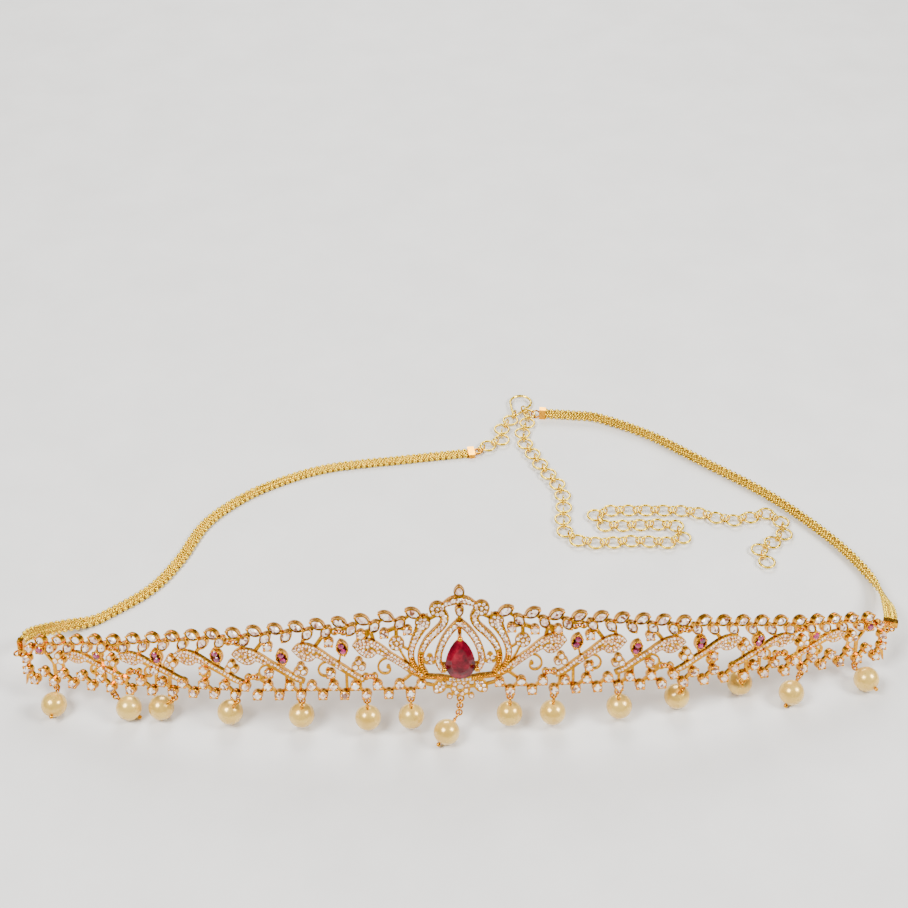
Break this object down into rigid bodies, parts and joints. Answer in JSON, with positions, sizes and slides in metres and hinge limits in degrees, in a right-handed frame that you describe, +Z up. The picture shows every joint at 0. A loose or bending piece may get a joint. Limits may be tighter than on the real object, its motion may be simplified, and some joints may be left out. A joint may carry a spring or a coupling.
{
  "type": "jewelled waist belt",
  "caption": "Openwork jewelled waist belt with a lotus centre, linked vine panels, pearl drops, woven chain bands, a wire hook and a ring extension chain.",
  "frame": {"origin": "Centre of the box around the whole belt as it lies, on the table", "axes": "+X along the jewelled front, to the right as seen from the front; +Y from the front across the waist opening to the hook; +Z up from the table"},
  "size_m": [0.2835, 0.17, 0.0478],
  "materials": {
    "gold": "polished gold plate on brass",
    "pale_gold": "bright pale gold plate on woven and ring chain",
    "clear_stone": "cut clear stone over foil",
    "red_stone": "cut deep red glass",
    "pearl": "cream pearl lustre coating"
  },
  "bodies": {
    "root": {"centre_panel": "gold", "inner_panel_right": "gold", "inner_panel_left": "gold", "middle_panel_right": "gold", "middle_panel_left": "gold", "end_panel_right": "gold", "end_panel_left": "gold", "panel_rings": "gold", "ruby": "red_stone", "finial_stones": "clear_stone", "top_row_stones": "clear_stone", "second_row_stones": "clear_stone", "pearl_1": "pearl", "pearl_2": "pearl", "pearl_3": "pearl", "pearl_4": "pearl", "pearl_5": "pearl", "pearl_6": "pearl", "pearl_7": "pearl", "pearl_8": "pearl", "pearl_9": "pearl", "pearl_10": "pearl", "pearl_11": "pearl", "pearl_12": "pearl", "pearl_13": "pearl", "pearl_14": "pearl", "pearl_15": "pearl", "head_pin_1": "gold", "head_pin_2": "gold", "head_pin_3": "gold", "head_pin_4": "gold", "head_pin_5": "gold", "head_pin_6": "gold", "head_pin_7": "gold", "head_pin_8": "gold", "head_pin_9": "gold", "head_pin_10": "gold", "head_pin_11": "gold", "head_pin_12": "gold", "head_pin_13": "gold", "head_pin_14": "gold", "head_pin_15": "gold", "centre_drop_links": "gold", "left_band": "pale_gold", "right_band": "pale_gold", "left_band_caps": "gold", "right_band_caps": "gold", "hook": "pale_gold", "hook_chain": "pale_gold", "extension_chain": "pale_gold"}
  },
  "joints": []
}
